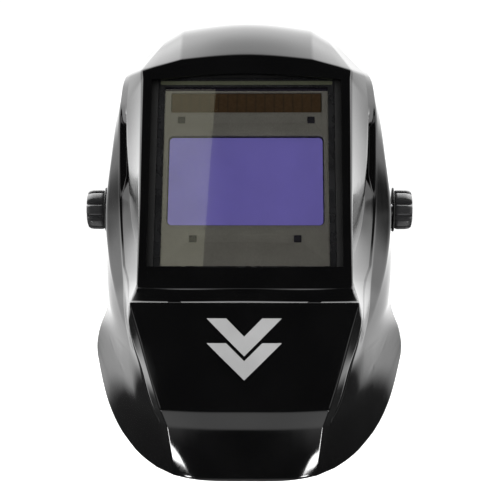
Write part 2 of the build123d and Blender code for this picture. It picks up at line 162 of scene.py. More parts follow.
def tint(tree, fac, dark, light, start=0.35, end=0.65):
    """A colour that runs from dark to light with a value."""
    ramp = add_node(tree, "ValToRGB", {"Fac": fac})
    for element, position, colour in zip(ramp.color_ramp.elements, (start, end), (dark, light)):
        element.position = position
        element.color = (*colour, 1)
    return ramp.outputs["Color"]


def bump(tree, shader, height, depth, strength=0.5, under=None):
    """Bump of a height in metres; under is the normal of a coarser bump below it."""
    node = add_node(tree, "Bump", {"Strength": strength, "Distance": depth, "Height": height})
    if under is not None:
        feed(node, {"Normal": under})
    feed(shader, {"Normal": node.outputs["Normal"]})
    return node.outputs["Normal"]


def plastic(name, dark, light, rough, grain=900.0, grain_depth=0.00004, grain_strength=0.3, specular=0.5):
    """Moulded plastic: slight colour and gloss variation, fine surface grain."""
    material, tree, shader = node_tree(name)
    feed(shader, {"Specular IOR Level": specular,
                  "Base Color": tint(tree, noise(tree, 38.0, 4.0), dark, light),
                  "Roughness": spread(tree, noise(tree, 140.0), *rough)})
    bump(tree, shader, noise(tree, grain, 2.0), grain_depth, grain_strength)
    return material


# ---------- curves through control points
def refine(points, kinks, radii, counts):
    """Curves through rows of control points, run along the first axis of points (n, k, 3).

    kinks (n, k) marks points where the curve turns a corner, radii (n, k) how far from such a corner its
    rounding starts, and counts the samples in each interval. Every corner row gets three rounding samples.
    """
    step = points[1:] - points[:-1]
    length = np.maximum(np.linalg.norm(step, axis=2), 1e-9)
    slope = step / length[..., None]
    n = len(points)
    into, out = np.zeros_like(points), np.zeros_like(points)
    weight = length[1:] / (length[1:] + length[:-1])
    smooth = slope[:-1] * weight[..., None] + slope[1:] * (1 - weight)[..., None]
    into[1:-1], out[1:-1] = smooth, smooth
    free = np.array(kinks, bool)
    free[0], free[-1] = True, True
    for i in range(n - 1):
        ahead = np.where(free[i + 1][:, None], slope[i], into[i + 1])
        out[i] = np.where(free[i][:, None], (3 * slope[i] - ahead) / 2, out[i])
    for i in range(1, n):
        behind = np.where(free[i - 1][:, None], slope[i - 1], out[i - 1])
        into[i] = np.where(free[i][:, None], (3 * slope[i - 1] - behind) / 2, into[i])
    rows, index = [], []
    corner = (radii > 0).any(axis=1)
    last = None
    for i in range(n - 1):
        start = np.minimum(radii[i] / length[i], 0.45) if corner[i] else np.zeros(points.shape[1])
        end = 1 - np.minimum(radii[i + 1] / length[i], 0.45) if corner[i + 1] else np.ones(points.shape[1])
        spans = [start + (end - start) * k / counts[i] for k in range(counts[i] + 1)]
        samples = []
        for f in spans:
            f = f[:, None]
            reach = length[i][:, None]
            samples.append((2 * f**3 - 3 * f**2 + 1) * points[i] + (f**3 - 2 * f**2 + f) * reach * out[i]
                           + (3 * f**2 - 2 * f**3) * points[i + 1] + (f**3 - f**2) * reach * into[i + 1])
        if i == 0:
            index.append(0)
            rows.append(samples[0])
        elif corner[i]:
            for f in (0.25, 0.5, 0.75):
                rows.append((1 - f)**2 * last + 2 * f * (1 - f) * points[i] + f**2 * samples[0])
            rows.append(samples[0])
            index.append(len(rows) - 3)
        else:
            index.append(len(rows) - 1)
        rows.extend(samples[1:])
        last = samples[-1]
    index.append(len(rows) - 1)
    return np.array(rows), index


# ---------- shell
# Rows cross the shell from its middle line to its edge, from the chin up and over the crown. In a row:
# middle, opening side, front corner, foot of the window box or chin panel, outer edge of the side channel,
# crest of the side body, middle of the side, edge. Millimetres.
SHELL_ROWS = (
    ("chin edge", (0, -158, -167.5), (30, -154, -167.5), (46, -142, -167), (58, -127, -165),
     (68, -111, -162), (80, -90, -155), (97, -55, -136), (109, -24, -104)),
    ("band foot", (0, -170, -132), (28, -168.5, -132), (49, -162, -132), (53.5, -152, -132.5),
     (67, -126, -131), (79, -100, -128), (95, -62, -117), (109.8, -20, -96)),
    ("band top", (0, -178, -120.5), (28, -176, -120.4), (52.5, -170, -120.2), (59, -153, -119.5),
     (70.5, -128, -117), (80, -103, -113), (95, -62, -104), (109.2, -18, -90)),
    ("mid chin", (0, -182.5, -97), (30, -180, -97), (59.5, -171.5, -97), (66, -152, -95),
     (73, -131, -93), (80, -110, -92), (93, -66, -88), (107.5, -18, -83)),
    ("high chin", (0, -183.5, -75), (33, -181.5, -75), (65, -173.5, -75), (70.7, -154, -80),
     (75, -130, -84), (78, -121, -82), (92, -72, -78), (104.5, -16, -75)),
    ("nose", (0, -179, -53.4), (45, -178.6, -53.4), (70.5, -177, -53.4), (72.5, -165, -60),
     (80, -115, -66), (84.5, -102, -65), (97.6, -50, -63), (102.8, 5, -58)),
    ("window foot", (0, -173.2, -45.3), (56, -173, -45.3), (66.8, -172, -45), (67.5, -155, -40),
     (83, -95, -45), (90.4, -80, -52), (101, -33, -45), (103.6, 26, -35)),
    ("opening foot", (0, -167, -31.8), (61.2, -166.8, -31.2), (66.8, -166.3, -31), (69, -139, -28),
     (84.6, -88, -34), (95.6, -63, -36), (102.2, -27, -28), (104, 34, -16)),
    ("low window", (0, -151.5, 4), (61.3, -151.4, 4), (67, -151, 4), (76.6, -99, -4),
     (87.6, -75.5, -2), (99.7, -52, -4), (102.3, -14, 0), (104, 38, 5)),
    ("high window", (0, -131, 52), (61.4, -130.8, 52), (67.6, -130.4, 52), (80.8, -87.5, 40),
     (88.4, -71.5, 41), (94.8, -58, 38), (99.8, -14, 34), (102, 40, 33)),
    ("opening top", (0, -114, 91.5), (61.5, -115.5, 87.5), (68, -115, 87.5), (81, -84, 74),
     (86.8, -69.5, 76), (89.4, -58, 73), (94.7, -10, 65), (98, 41, 56)),
    ("window top", (0, -110, 103.4), (43, -110, 100.7), (68.6, -112.2, 93.6), (79, -84, 92.5),
     (82.6, -72, 92.5), (86, -58, 87), (91, -8, 75), (96, 41, 63)),
    ("crown front", (0, -85, 126), (43, -84, 122), (52.5, -82, 118), (62, -80, 111),
     (72, -77, 100), (79, -58, 97), (87, -10, 88), (93, 41, 72)),
    ("crown", (0, -45, 131.2), (43, -44, 127.6), (54, -42, 123.2), (63.5, -40, 116.5),
     (72, -38, 109.2), (79.5, -25, 102.5), (85, 8, 93), (90, 41, 79)),
    ("crown rear", (0, 0, 128.5), (40, 1, 125), (52, 3, 121), (62, 5, 115),
     (71, 8, 107.5), (76.5, 17, 101.5), (81, 28, 94.5), (86, 41, 86)),
    ("rear edge", (0, 40, 119.5), (30, 40, 118), (43, 40, 116), (54, 40, 112.5),
     (62, 40, 107), (69, 40, 103), (76, 40, 97), (82, 41, 91)),
)
ROW = {row[0]: i for i, row in enumerate(SHELL_ROWS)}
MID, OPEN, FRONT, FOOT, EDGE, CREST = range(6)
ROW_STEP = 2.2  # spacing of the fine rows
# Rows where the skin bends, and how far from the bend its rounding starts.
ROW_BENDS = (("band foot", 1.6), ("band top", 1.6), ("nose", 1.3), ("window foot", 1.6), ("window top", 1.4))
# Samples between neighbouring columns, channel columns included, from the middle line to the edge.
COLUMN_STEPS = [14, 3, 10, 3, 4, 2, 3, 8, 22, 22]
FRONT_ROUND, FOOT_ROUND, CHANNEL_ROUND, OPEN_ROUND = 1.0, 0.8, 0.5, 1.2
# Rounding of the channel's outer edge, low down and over the crown: heights, then radii.
EDGE_ROUND_LOW = ((-100, -80, -60), (9.0, 5.0, 1.2))
EDGE_ROUND_CROWN = ((88, 100), (1.2, 7.0))
CREST_ROUND = 3.0  # least rounding of the side body's crest
CREST_STARTS = -90  # height where the crest begins
SHELL_WALL = 2.6
SHELL_EDGE = 0.7
# Height, then depth of the side channel and its floor's two ends and outer lip as shares of the way from foot
# to edge.
CHANNEL = ((140, 0.0, 0.2, 0.7, 0.8), (70, 0.0, 0.2, 0.7, 0.8), (59, 1.4, 0.2, 0.7, 0.8),
           (57, 4.2, 0.2, 0.72, 0.8), (24, 4.2, 0.2, 0.72, 0.8), (8, 0.7, 0.12, 0.8, 0.9),
           (-30, 0.7, 0.05, 0.85, 0.93), (-58, 0.3, 0.05, 0.3, 0.4), (-76, 0.4, 0.05, 0.12, 0.16),
           (-86, 2.0, 0.04, 0.16, 0.2), (-112, 2.0, 0.03, 0.12, 0.15), (-130, 0.6, 0.02, 0.05, 0.07),
           (-134, 0.0, 0.02, 0.05, 0.07), (-170, 0.0, 0.02, 0.05, 0.07))
CHANNEL_COLUMNS = 3  # how many columns the channel adds
# Small lips along the top and the foot of the ledge under the window, and how far they stand out; their share
# of that on the fine rows beside, and which way they stand out.
LEDGE_LIPS = (("nose", 1.0), ("window foot", 0.35))
LIP_SHARES = ((-1, 0.7), (0, 1.0), (1, 0.5))
LIP_WAY = (0, -0.6, 0.8)
# A shallow curved groove across each wing: its points, how deep it gets and how wide.
WING_GROOVE = ((101, -18, -69), (98.3, -34, -78), (94.7, -50, -87), (91.2, -63, -93), (87.2, -75, -98),
               (81, -95, -105), (75.8, -110, -112))
GROOVE_DEPTH = 1.3
GROOVE_HALF = 3.4
GROOVE_SAMPLES = 12  # on each stretch between its points
GROOVE_NARROWING = (2.2, 4)  # how quickly it widens from its two ends
GROOVE_FADING = (6, 8)  # how quickly it deepens from its two ends
GROOVE_WAY = (0.85, 0.5)  # pressed inward and back
WING_INSIDE, WING_LOW, WING_HIGH = 70, -120, -60  # where the wings are


def ends_fade(share, rates):
    """A value that grows from 0 at both ends of a line, at a rate for each end."""
    return np.minimum(share * rates[0], (1 - share) * rates[1])


def with_wing_groove(grid):
    """Presses the wing groove into the fine skin, both sides alike."""
    line = np.array(WING_GROOVE, float)
    along = np.linspace(0, 1, GROOVE_SAMPLES, endpoint=False)[:, None]
    stretches = [line[i] + (line[i + 1] - line[i]) * along for i in range(len(line) - 1)]
    dense = np.concatenate(stretches + [line[-1:]])
    share = np.linspace(0, 1, len(dense))
    width = GROOVE_HALF * np.minimum(1, ends_fade(share, GROOVE_NARROWING) + 0.25)
    points = grid.reshape(-1, 3)
    mirrored = points.copy()
    mirrored[:, 0] = np.abs(mirrored[:, 0])
    height = mirrored[:, 2]
    near = np.where((height < WING_HIGH) & (height > WING_LOW) & (mirrored[:, 0] > WING_INSIDE))[0]
    gap = np.linalg.norm(mirrored[near][:, None] - dense[None], axis=2)
    at = gap.argmin(axis=1)
    part = np.clip(gap.min(axis=1) / width[at], 0, 1)
    ends = np.clip(ends_fade(share[at], GROOVE_FADING), 0, 1)
    depth = GROOVE_DEPTH * ends * (1 - part ** 2) ** 2
    points[near, 0] -= np.sign(points[near, 0]) * depth * GROOVE_WAY[0]
    points[near, 1] += depth * GROOVE_WAY[1]
    return points.reshape(grid.shape)


def shell_grid():
    """The fine outer skin, (rows, columns, 3) in millimetres, and where the control lines lie in it."""
    net = np.array([row[1:] for row in SHELL_ROWS], float)
    kinks = np.zeros(net.shape[:2], bool)
    for name in ("band foot", "band top", "nose", "window foot"):
        kinks[ROW[name], :FOOT] = True
    kinks[ROW["window top"], :FOOT + 1] = True
    for name in ("opening foot", "opening top"):
        kinks[ROW[name], :FRONT + 1] = True
    radii = np.zeros(net.shape[:2])
    for name, radius in ROW_BENDS:
        radii[ROW[name]] = radius
    lengths = np.linalg.norm(net[1:] - net[:-1], axis=2)[:, [MID, FRONT, CREST]].mean(axis=1)
    counts = [max(3, round(length / ROW_STEP)) for length in lengths]
    rows, row_at = refine(net, kinks, radii, counts)
    for name, height in LEDGE_LIPS:
        for step, share in LIP_SHARES:
            rows[row_at[ROW[name]] + step, :FOOT] += np.array(LIP_WAY) * height * share
    return rows, row_at


def with_channel(rows):
    """Adds the channel's floor and lip between the foot and the edge of every row."""
    foot, edge = rows[:, FOOT], rows[:, EDGE]
    table = np.array(CHANNEL[::-1])
    shape = [np.interp(foot[:, 2], table[:, 0], table[:, i]) for i in range(1, 5)]
    along = np.gradient(foot, axis=0)
    inward = np.cross(along, edge - foot)
    inward /= np.linalg.norm(inward, axis=1)[:, None]
    inward *= np.where(inward[:, :1] > 0, -1, 1)
    extra = []
    for share, depth in ((shape[1], shape[0]), (shape[2], shape[0]), (shape[3], np.zeros(len(foot)))):
        extra.append(foot + (edge - foot) * share[:, None] + inward * depth[:, None])
    return np.concatenate([rows[:, :FOOT + 1], np.stack(extra, axis=1), rows[:, EDGE:]], axis=1)


def make_shell():
    """The whole outer skin: the rows mirrored, curved across and pressed with the wing grooves."""
    rows, row_at = shell_grid()
    rows = with_channel(rows)
    half = rows.shape[1]
    edge, crest = EDGE + CHANNEL_COLUMNS, CREST + CHANNEL_COLUMNS
    full = np.concatenate([rows[:, :0:-1] * (-1, 1, 1), rows], axis=1)
    lines = np.transpose(full, (1, 0, 2))
    centre = half - 1
    kinks = np.zeros(lines.shape[:2], bool)
    radii = np.zeros(lines.shape[:2])
    height = rows[:, FOOT, 2]
    soft_low = np.interp(height, *EDGE_ROUND_LOW)
    soft_crown = np.interp(rows[:, edge, 2], *EDGE_ROUND_CROWN)
    spans = [(FRONT, FRONT_ROUND), (FOOT, FOOT_ROUND)]
    spans += [(FOOT + 1 + k, CHANNEL_ROUND) for k in range(CHANNEL_COLUMNS)]
    for column, radius in spans:
        for place in (centre - column, centre + column):
            kinks[place] = True
            radii[place] = radius
    for place in (centre - OPEN, centre + OPEN):
        kinks[place, row_at[ROW["window foot"]]:] = True
        radii[place] = OPEN_ROUND
    for place in (centre - edge, centre + edge):
        kinks[place] = True
        radii[place] = np.maximum(soft_low, soft_crown)
    for place in (centre - crest, centre + crest):
        kinks[place] = height > CREST_STARTS
        radii[place] = np.maximum(soft_low * 1.5, CREST_ROUND)
    grid, column_at = refine(lines, kinks, radii, COLUMN_STEPS[::-1] + COLUMN_STEPS)
    grid = with_wing_groove(np.transpose(grid, (1, 0, 2)).copy())
    hole_rows = range(row_at[ROW["opening foot"]], row_at[ROW["opening top"]])
    hole_columns = range(column_at[centre - OPEN], column_at[centre + OPEN])
    return grid_object("helmet_shell_skin", grid, hole_rows, hole_columns)


def grid_object(name, grid, hole_rows=(), hole_columns=()):
    """A mesh from a grid of points in millimetres, with some cells left open."""
    r, c = grid.shape[:2]
    faces = []
    for i in range(r - 1):
        for j in range(c - 1):
            if i in hole_rows and j in hole_columns:
                continue
            a = i * c + j
            faces.append((a, a + 1, a + c + 1, a + c))
    mesh = bpy.data.meshes.new(name)
    mesh.from_pydata((grid.reshape(-1, 3) * MM).tolist(), [], faces)
    with edited(mesh) as work:
        bmesh.ops.delete(work, geom=[v for v in work.verts if not v.link_faces], context="VERTS")
    all_smooth(mesh)
    return new_object(name, mesh)


def finish_shell(piece):
    """Gives the skin its wall, rounds its edges and lets it stand for the CAD shell."""
    modify(piece, "SOLIDIFY", thickness=SHELL_WALL * MM, offset=-1, material_offset=1, material_offset_rim=0)
    modify(piece, "BEVEL", width=SHELL_EDGE * MM, segments=2, angle=60)
    gloss = plastic("shell_gloss", (0.0008, 0.0008, 0.0009), (0.0013, 0.0013, 0.0014), (0.07, 0.11),
                    220.0, 0.00002, 0.08)
    inside = plastic("shell_inside", (0.016, 0.016, 0.017), (0.024, 0.024, 0.025), (0.5, 0.65))
    piece.data.materials.append(gloss)
    piece.data.materials.append(inside)
    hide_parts("helmet_shell")
    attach(piece, "shell")


# ---------- light and floor
WHITE_LEVEL = 1.1  # what the camera sees
SOFT_LEVEL = 0.25  # what rough surfaces get from the room
# What reflections see. Each light: a direction as factors of |x|, y and z, where along it the light starts
# and is full, and its brightness.
STUDIO_LIGHTS = (
    ((0.0, 0.0, 0.0), -2.0, -1.0, 0.045),  # the dark room
    ((0.0, 1.0, 0.8), 0.63, 0.72, 0.85),  # backdrop
    ((0.0, 1.0, 0.8), 0.78, 1.05, 1.2),  # its brighter middle
    ((0.0, 0.5, 1.0), 0.72, 1.1, 3.9),  # soft box overhead
    ((0.7, 0.0, 0.72), 0.78, 0.93, 5.0),  # strip boxes above the sides
    ((0.0, 0.0, -1.0), 0.75, 0.92, 1.0),  # pale floor
    ((1.0, -0.3, -0.2), 0.93, 1.02, 1.2),  # soft boxes beside each side
)
FLOOR_Z = -0.5
FLOOR_HALF = 6.0


def blend_value(tree, parts):
    """The sum of several values, each times its factor."""
    total = 0.0
    for value, factor in parts:
        node = add_node(tree, "Math", {0: value, 1: factor, 2: total}, operation="MULTIPLY_ADD")
        total = node.outputs["Value"]
    return total


def world_light(tree, strength):
    """A white background of a fixed or a computed strength."""
    return add_node(tree, "Background", {"Color": (1, 1, 1, 1), "Strength": strength}).outputs["Background"]


def make_world():
    """White to the camera, a dim room to rough surfaces, and the studio's lights in reflections."""
    world = bpy.data.worlds.new("studio")
    world.use_nodes = True
    tree = world.node_tree
    tree.nodes.clear()
    split = add_node(tree, "SeparateXYZ", {"Vector": place_in(tree, "Generated")})
    aside = add_node(tree, "Math", {0: split.outputs["X"]}, operation="ABSOLUTE")
    ways = (aside.outputs["Value"], split.outputs["Y"], split.outputs["Z"])
    level = 0.0
    for direction, start, end, bright in STUDIO_LIGHTS:
        along = blend_value(tree, zip(ways, direction))
        fade = add_node(tree, "MapRange", {"Value": along, "From Min": start, "From Max": end,
                                           "To Max": bright}, interpolation_type="SMOOTHSTEP")
        level = blend_value(tree, [(fade.outputs["Result"], 1.0), (level, 1.0)])
    ray = tree.nodes.new("ShaderNodeLightPath")
    light = world_light(tree, SOFT_LEVEL)
    for kind, strength in (("Is Glossy Ray", level), ("Is Camera Ray", WHITE_LEVEL)):
        light = add_node(tree, "MixShader", {0: ray.outputs[kind], 1: light,
                                             2: world_light(tree, strength)}).outputs["Shader"]
    add_node(tree, "OutputWorld", {"Surface": light})
    bpy.context.scene.world = world


def make_floor():
    mesh = bpy.data.meshes.new("floor")
    corners = [(sx * FLOOR_HALF, sy * FLOOR_HALF, FLOOR_Z) for sx, sy in ((-1, -1), (1, -1), (1, 1), (-1, 1))]
    mesh.from_pydata(corners, [], [(0, 1, 2, 3)])
    floor = new_object("floor", mesh)
    material, tree, shader = node_tree("floor_pale")
    feed(shader, {"Base Color": (0.92, 0.92, 0.92, 1), "Roughness": 0.9, "Emission Color": (1, 1, 1, 1),
                  "Emission Strength": 0.95})
    mesh.materials.append(material)
    floor.visible_glossy = False


def area_light(name, place, aim, size, power, glossy=False, colour=(1.0, 1.0, 1.0)):
    """A soft rectangular lamp aimed at a point."""
    data = set_all(bpy.data.lights.new(name, "AREA"), shape="RECTANGLE", size=size[0], size_y=size[1],
                   energy=power, color=colour)
    turn = (Vector(aim) - Vector(place)).to_track_quat("-Z", "Y")
    return set_all(new_object(name, data), location=place, rotation_mode="QUATERNION",
                   rotation_quaternion=turn, visible_glossy=glossy, visible_camera=False)


def light_only(lamp, names):
    """Keeps a lamp's light to the named objects."""
    lit = bpy.data.collections.new("lit_by_" + lamp.name)
    for name in names:
        lit.objects.link(bpy.data.objects[name])
    lamp.light_linking.receiver_collection = lit


# ---------- more materials
def metal(name, dark, light, rough):
    """Plated or turned metal with fine directional scratches."""
    material, tree, shader = node_tree(name)
    lines = stretched(tree, 900.0, (1.0, 0.08, 0.08))
    feed(shader, {"Metallic": 1.0, "Base Color": tint(tree, noise(tree, 260.0, 4.0), dark, light),
                  "Roughness": spread(tree, lines, *rough)})
    bump(tree, shader, lines, 0.00002, 0.4)
    return material


def clear_lens(name, colour, gloss):
    """A clear sheet that shows what is behind it with a faint tint, light scratches and dust."""
    material, tree, shader = node_tree(name)
    tree.nodes.remove(shader)
    pale = tuple(min(1, c * 1.02) for c in colour)
    clear = add_node(tree, "BsdfTransparent", {"Color": tint(tree, noise(tree, 60.0, 2.0), colour, pale)})
    scratches = stretched(tree, 700.0, (1.0, 0.1, 1.0), 4.0)
    shine = add_node(tree, "BsdfGlossy", {"Roughness": spread(tree, scratches, *gloss, 0.5, 0.8)})
    edge = add_node(tree, "Fresnel", {"IOR": 1.45})
    mix = add_node(tree, "MixShader", {0: edge.outputs["Fac"], 1: clear.outputs["BSDF"],
                                       2: shine.outputs["BSDF"]})
    feed(tree.nodes["Material Output"], {"Surface": mix.outputs["Shader"]})
    return material


def olive_panel():
    """The case's speckled front."""
    material, tree, shader = node_tree("olive_panel")
    speckle = noise(tree, 1500.0, 3.0, 0.8)
    colour = tint(tree, speckle, (0.103, 0.085, 0.094), (0.135, 0.112, 0.124), 0.4, 0.6)
    feed(shader, {"Base Color": colour, "Roughness": spread(tree, noise(tree, 200.0), 0.45, 0.6)})
    bump(tree, shader, speckle, 0.00003, 0.4)
    return material


def violet_filter():
    """Interference-coated glass that drifts between two violets."""
    material, tree, shader = node_tree("violet_filter")
    drift = stretched(tree, 14.0, (1.0, 0.3, 0.5), 2.0)
    colour = tint(tree, drift, (0.160, 0.120, 0.500), (0.190, 0.140, 0.560), 0.3, 0.7)
    feed(shader, {"Base Color": colour, "Roughness": spread(tree, noise(tree, 90.0), 0.05, 0.09),
                  "Coat Weight": 0.3, "Coat Roughness": 0.03})
    bump(tree, shader, noise(tree, 30.0), 0.00004, 0.1)
    return material


def solar_panel():
    """Brown strips with a grain."""
    material, tree, shader = node_tree("solar_panel")
    strips = waves(tree, 165.0, "X")
    grain = noise(tree, 500.0, 3.0)
    base = tint(tree, strips, (0.034, 0.018, 0.010), (0.050, 0.024, 0.012), 0.02, 0.12)
    shade = tint(tree, grain, (0.7, 0.65, 0.6), (1.0, 1.0, 1.0))
    mix = add_node(tree, "Mix", {"Factor": 0.7, "A": base, "B": shade}, data_type="RGBA",
                   blend_type="MULTIPLY")
    feed(shader, {"Base Color": mix.outputs["Result"], "Roughness": spread(tree, grain, 0.12, 0.2)})
    bump(tree, shader, strips, 0.00003, 0.3)
    return material


def circuit():
    """Green board with copper lines."""
    material, tree, shader = node_tree("circuit_green")
    cells = add_node(tree, "TexVoronoi", {"Scale": 380.0, "Vector": place_in(tree)},
                     feature="DISTANCE_TO_EDGE", distance="EUCLIDEAN")
    lines = spread(tree, cells.outputs["Distance"], 0.0, 1.0, 0.02, 0.06)
    feed(shader, {"Base Color": tint(tree, lines, (0.30, 0.22, 0.06), (0.012, 0.085, 0.035), 0.2, 0.8),
                  "Roughness": spread(tree, noise(tree, 300.0), 0.3, 0.45)})
    bump(tree, shader, lines, 0.00005, 0.4)
    return material


def towelling():
    """Black knitted sweatband cloth."""
    material, tree, shader = node_tree("towelling")
    loops = noise(tree, 1500.0, 3.0, 0.7)
    weave = add_node(tree, "Math", {0: waves(tree, 310.0, "X", 1.0), 1: waves(tree, 310.0, "Z", 1.0)},
                     operation="MULTIPLY")
    feed(shader, {"Base Color": tint(tree, loops, (0.012, 0.012, 0.014), (0.055, 0.055, 0.060)),
                  "Roughness": spread(tree, noise(tree, 90.0), 0.85, 1.0),
                  "Sheen Weight": 0.5, "Sheen Roughness": 0.5})
    coarse = bump(tree, shader, weave.outputs["Value"], 0.0004, 0.5)
    bump(tree, shader, loops, 0.0006, 0.6, coarse)
    return material


def make_materials():
    """One material for each of the record's slots."""
    return {
        "holder_black": plastic("holder_black", (0.003, 0.003, 0.0032), (0.0055, 0.0055, 0.006),
                                (0.22, 0.32)),
        # The bezel ring's own black, made darker and duller than the holder's: partly real, partly painted
        # shade inside the window opening.
        "bezel_black": plastic("bezel_black", (0.002, 0.002, 0.002), (0.004, 0.004, 0.004), (0.5, 0.6),
                               specular=0.15),
        "cover_lens": clear_lens("cover_lens", (0.90, 0.93, 0.88), (0.01, 0.06)),
        "case_olive": olive_panel(),
        "filter_glass": violet_filter(),
        "lcd": plastic("lcd_dark", (0.02, 0.02, 0.05), (0.035, 0.035, 0.08), (0.08, 0.12)),
        "solar": solar_panel(),
        "sensor": plastic("sensor_window", (0.010, 0.008, 0.014), (0.018, 0.014, 0.024), (0.08, 0.14)),
        "board": circuit(),
        "cell_steel": metal("cell_steel", (0.45, 0.45, 0.46), (0.62, 0.62, 0.63), (0.18, 0.32)),
        "dial_black": plastic("dial_black", (0.012, 0.012, 0.013), (0.024, 0.024, 0.026), (0.38, 0.5)),
        "button_grey": plastic("button_grey", (0.17, 0.17, 0.175), (0.23, 0.23, 0.235), (0.4, 0.52)),
        "knob_grey": plastic("knob_grey", (0.012, 0.012, 0.0125), (0.022, 0.022, 0.023), (0.26, 0.36), 1100.0,
                             0.00006, 0.4),
        "brass": metal("brass", (0.50, 0.36, 0.15), (0.66, 0.48, 0.22), (0.22, 0.36)),
        "bolt_steel": metal("bolt_steel", (0.34, 0.34, 0.35), (0.52, 0.52, 0.53), (0.22, 0.38)),
        "washer_nylon": plastic("washer_nylon", (0.012, 0.012, 0.012), (0.020, 0.020, 0.020), (0.5, 0.62)),
        "headgear_black": plastic("headgear_black", (0.016, 0.016, 0.017), (0.030, 0.030, 0.032),
                                  (0.42, 0.56), 700.0, 0.00008, 0.5),
        "sweat_fabric": towelling(),
        # A darker copy of the case's olive for its top rim: painted shade.
        "band_olive": plastic("band_olive", (0.026, 0.028, 0.018), (0.036, 0.038, 0.025), (0.5, 0.6),
                              specular=0.15),
        "mark_grey": plastic("mark_grey", (0.25, 0.25, 0.25), (0.29, 0.29, 0.29), (0.35, 0.45)),
    }


# ---------- mesh helpers
def add_piece(name, mesh, body, slot, stands_for=(), shine=None):
    """Puts a mesh in the scene as a piece that rides on a body."""
    piece = new_object(name, mesh)
    mesh.materials.clear()
    mesh.materials.append(MATERIALS[shine or slot])
    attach(piece, body)
    if stands_for:
        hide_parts(*stands_for)
    return piece


def smooth(mesh, angle=35.0):
    """Smooth shading with sharp edges kept."""
    all_smooth(mesh)
    limit = math.radians(angle)
    with edited(mesh) as work:
        for edge in work.edges:
            if len(edge.link_faces) == 2 and edge.calc_face_angle(0) > limit:
                edge.smooth = False


EDGE_ROUND = 0.35  # of straps and of the CAD nodes that show


def soften(piece, width, angle=40.0):
    """Rounds the sharp edges of a piece."""
    modify(piece, "BEVEL", width=width * MM, segments=2, angle=angle, harden_normals=True)


def rounded(width, height, radius, x=0.0, y=0.0, steps=5):
    """A rectangle with rounded corners, as points."""
    points = []
    for i, (sx, sy) in enumerate(((1, 1), (-1, 1), (-1, -1), (1, -1))):
        cx, cy = x + sx * (width / 2 - radius), y + sy * (height / 2 - radius)
        for k in range(steps + 1):
            turn = math.pi / 2 * (i + k / steps)
            points.append((cx + radius * math.cos(turn), cy + radius * math.sin(turn)))
    return points


def curve_mesh(curve):
    """The mesh of a curve or a text."""
    holder = new_object("holder", curve)
    mesh = bpy.data.meshes.new_from_object(holder.evaluated_get(bpy.context.evaluated_depsgraph_get()))
    bpy.data.objects.remove(holder)
    return mesh


def plate(loops, back, front, round_edge, turn):
    """A flat plate with holes between two depths, its edges rounded; turn places it. Millimetres."""
    curve = set_all(bpy.data.curves.new("plate", "CURVE"), dimensions="2D", fill_mode="BOTH",
                    extrude=max((front - back) / 2 - round_edge, 0.0) * MM, bevel_depth=round_edge * MM,
                    bevel_resolution=1, offset=-round_edge * MM)
    for loop in loops:
        spline = curve.splines.new("POLY")
        spline.points.add(len(loop) - 1)
        for point, (x, y) in zip(spline.points, loop):
            point.co = (x * MM, y * MM, 0, 1)
        spline.use_cyclic_u = True
    mesh = curve_mesh(curve)
    mesh.transform(turn @ Matrix.Translation((0, 0, (front + back) / 2 * MM)))
    weld(mesh)
    smooth(mesh)
    return mesh


WELD_GAP = 0.01


def weld(mesh):
    """Joins points that lie together and turns all faces outward."""
    with edited(mesh) as work:
        bmesh.ops.remove_doubles(work, verts=work.verts, dist=WELD_GAP * MM)
        bmesh.ops.dissolve_degenerate(work, edges=work.edges, dist=WELD_GAP * MM)
        bmesh.ops.recalc_face_normals(work, faces=work.faces)


GROOVE_SHARPNESS = 5.0  # of a knob's grooves: high leaves wide lobes


def turned(profile, turn, steps, lobes):
    """A knob turned about +Z from rows of radius, height and groove depth, with a groove per lobe."""
    points, faces = [], []
    for radius, height, depth in profile:
        for k in range(steps):
            angle = 2 * math.pi * k / steps
            groove = depth * (0.5 + 0.5 * math.cos(lobes * angle)) ** GROOVE_SHARPNESS
            r = max(radius - groove, 0.0)
            points.append((r * math.cos(angle) * MM, r * math.sin(angle) * MM, height * MM))
    for i in range(len(profile) - 1):
        for k in range(steps):
            a, b = i * steps + k, i * steps + (k + 1) % steps
            faces.append((a, b, b + steps, a + steps))
    mesh = bpy.data.meshes.new("turned")
    mesh.from_pydata(points, [], faces)
    mesh.transform(turn)
    weld(mesh)
    smooth(mesh, 32.0)
    return mesh


def frame_at(origin, x_axis, z_axis):
    """The matrix of a local frame; origin in millimetres."""
    x, z = Vector(x_axis).normalized(), Vector(z_axis).normalized()
    y = z.cross(x)
    return Matrix.Translation(Vector(origin) * MM) @ Matrix((x, y, z)).transposed().to_4x4()


# ---------- the filter in its window
# Millimetres in the window's plane: width, height and how far up the middle is. Depths are ahead of it.
WINDOW = frame_at((0, -141, 29), (1, 0, 0), (0, -148, 64))
LENS_W, LENS_H, LENS_DROP = 114.0, 133.0, -1.8
VIEW_W, VIEW_H, VIEW_DROP = 100.0, 62.0, -4.4
SOLAR_W, SOLAR_H, SOLAR_RISE = 98.0, 14.0, 50.4
CASE_FRONT, CASE_SPLIT = -7.1, -11.1
SENSORS = ((-42, 38.0), (42, 38.0), (-33, -44.4), (33, -44.4))
SENSOR_W = 4.8
STRIP_W, STRIP_H, STRIP_RISE = 106, 5.0, 61.2
BAND_W, BAND_H, BAND_RISE = 112, 2.8, 63.2
BAND_BACK, BAND_FRONT = -4.5, -4.1
BEZEL_W, BEZEL_H, BEZEL_RISE = 126.6, 144, 1.0
BEZEL_HOLE_W, BEZEL_HOLE_H, BEZEL_HOLE_DROP = 114.4, 133.1, -0.05
BEZEL_BACK, BEZEL_FRONT = -4.35, -2.9


